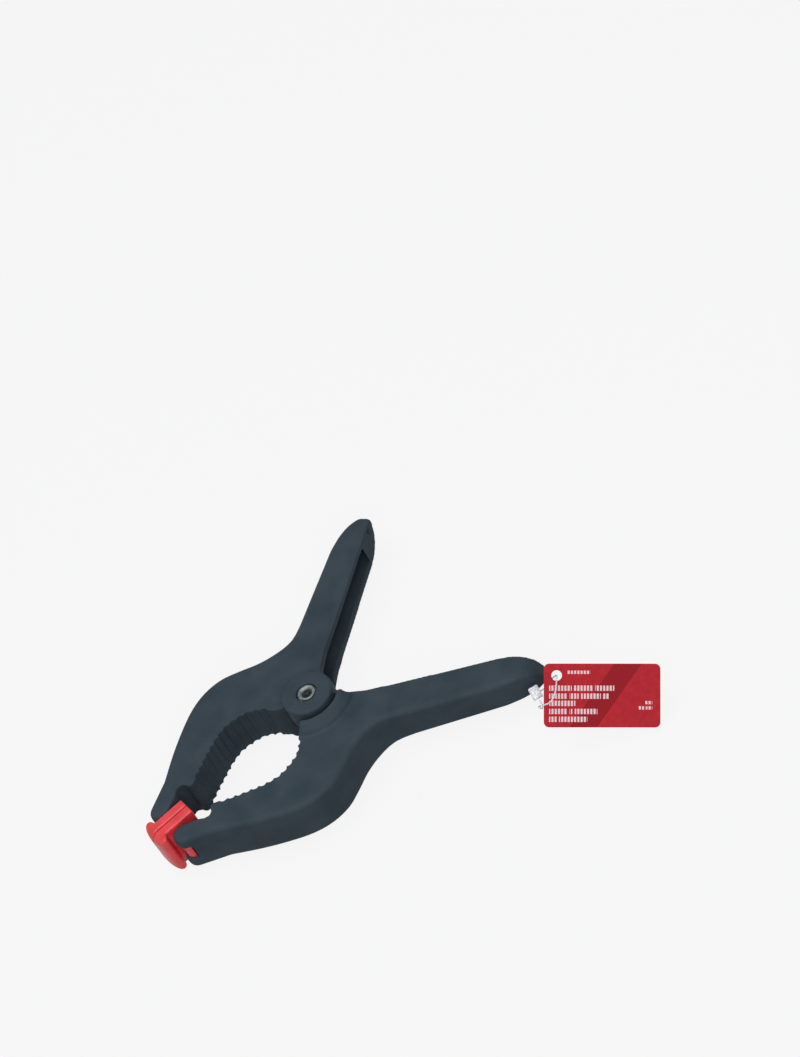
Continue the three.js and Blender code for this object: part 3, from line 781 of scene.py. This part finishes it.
spring_data = bpy.data.curves.new("coil_spring", "CURVE")
spring_data.dimensions = "3D"
spring_data.bevel_depth = SPRING_WIRE / 2 * MM
spring_data.bevel_resolution = 5
spring_data.use_fill_caps = True
wire = spring_data.splines.new("POLY")
wire.points.add(len(wire_line) - 1)
for knot, point in zip(wire.points, wire_line):
    knot.co = (*point, 1)
spring = bpy.data.objects.new("coil_spring", spring_data)
bpy.context.scene.collection.objects.link(spring)
select_only(spring)
bpy.ops.object.convert(target="MESH")
spring = bpy.context.object
smooth_shade(spring, 50)
hand_over(spring, "torsion_spring", None, spring_steel)
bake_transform(spring)
print("coil turns:", round(coil_turns, 2), "wire, mm:", SPRING_WIRE)

# %% [markdown]
# ## The floor
# The clamp lies on a pale floor that fills the view. To the camera most of the floor is plain light,
# so it stays even and bright, and the rest of it is a real surface that takes the clamp's shadow.
# The Light Path node tells the two apart: the glow is seen, and mirrored in the steel, but the dull
# sides of the clamp get only what the paper throws back. The paper is greyer than it looks, which
# keeps those sides darker than the clamp's face.

# %% Floor
FLOOR_PAPER = (0.4, 0.4, 0.4)
FLOOR_GLOW = (1.0, 1.0, 1.0)
FLOOR_SIZE = 8
FLOOR_DROP = 0.05
FLOOR_SHADOW = 0.12


def seen_directly(holder):
    """1 for what the camera sees by itself, in metal or through glass, and 0 for other light."""
    rays = add_node(holder, "ShaderNodeLightPath")
    seen = rays.outputs["Is Camera Ray"]
    for kind in ("Is Glossy Ray", "Is Transmission Ray"):
        either = add_node(holder, "ShaderNodeMath", operation="MAXIMUM")
        link(holder, seen, either.inputs[0])
        link(holder, rays.outputs[kind], either.inputs[1])
        seen = either.outputs["Value"]
    return seen


floor_paper, paper_shader = new_material("pale paper", FLOOR_PAPER, 0.9)
paper_shader.inputs["Specular IOR Level"].default_value = 0.0
glow = add_node(floor_paper, "ShaderNodeEmission")
glow.inputs["Color"].default_value = (*FLOOR_GLOW, 1)
share = add_node(floor_paper, "ShaderNodeMath", operation="MULTIPLY")
share.inputs[1].default_value = 1 - FLOOR_SHADOW
link(floor_paper, seen_directly(floor_paper), share.inputs[0])
blend = add_node(floor_paper, "ShaderNodeMixShader")
link(floor_paper, share.outputs["Value"], blend.inputs["Fac"])
link(floor_paper, paper_shader.outputs["BSDF"], blend.inputs[1])
link(floor_paper, glow.outputs["Emission"], blend.inputs[2])
paper_output = floor_paper.node_tree.nodes["Material Output"]
link(floor_paper, blend.outputs["Shader"], paper_output.inputs["Surface"])

bpy.ops.object.select_all(action="DESELECT")
bpy.ops.mesh.primitive_plane_add(size=FLOOR_SIZE, location=(0, 0, -FLOOR_DROP * MM))
floor = bpy.context.object
floor.name = "floor"
floor.data.materials.append(floor_paper)
print("floor, m:", FLOOR_SIZE, "and", FLOOR_DROP, "mm below the clamp")

# %% [markdown]
# ## The room
# The room gives a weak, slightly cool light from all sides, which keeps the channels from going
# black. The camera sees a pale wall instead, by the same split as on the floor.

# %% Room
ROOM_TINT = (0.86, 0.98, 1.0)
ROOM_LIGHT = 0.28
ROOM_WALL = (0.92, 0.92, 0.92)

room = bpy.data.worlds.new("pale room")
room.use_nodes = True
room_light = room.node_tree.nodes["Background"]
room_light.inputs["Color"].default_value = (*ROOM_TINT, 1)
room_light.inputs["Strength"].default_value = ROOM_LIGHT
room_wall = add_node(room, "ShaderNodeBackground")
room_wall.inputs["Color"].default_value = (*ROOM_WALL, 1)
room_mix = add_node(room, "ShaderNodeMixShader")
link(room, seen_directly(room), room_mix.inputs["Fac"])
link(room, room_light.outputs["Background"], room_mix.inputs[1])
link(room, room_wall.outputs["Background"], room_mix.inputs[2])
link(room, room_mix.outputs["Shader"], room.node_tree.nodes["World Output"].inputs["Surface"])
bpy.context.scene.world = room
print("room light:", ROOM_LIGHT)

# %% [markdown]
# ## The lamps
# Two soft lamps give most of the light. The key stands close to the camera's own direction, so that
# it reaches into the handle's channel and the jaws as far as the camera sees, and the shadows fall
# behind the clamp. The other hangs overhead and lifts the faces that lie flat. Each row gives a
# lamp's place from the pivot and its width in metres, and its power in watts.

# %% Lamps
LAMPS = {
    "key": ((-0.22, -0.9, 0.9), 0.9, 8.5),
    "top": ((-0.25, 0.15, 1.3), 0.9, 7.5),
}
for name, (where, size, power) in LAMPS.items():
    bpy.ops.object.light_add(type="AREA", location=PIVOT + Vector(where))
    lamp = bpy.context.object
    lamp.name = name
    lamp.data.shape = "DISK"
    lamp.data.size = size
    lamp.data.energy = power
    aim = (PIVOT - lamp.location).to_track_quat("-Z", "Y")
    lamp.rotation_euler = aim.to_euler()
    print(name, "lamp is", round((lamp.location - PIVOT).length, 2), "m away, W:", power)

# %% [markdown]
# ## The picture
# The picture is shown as its colours are written.

# %% Finish
bpy.context.scene.view_settings.view_transform = "Standard"
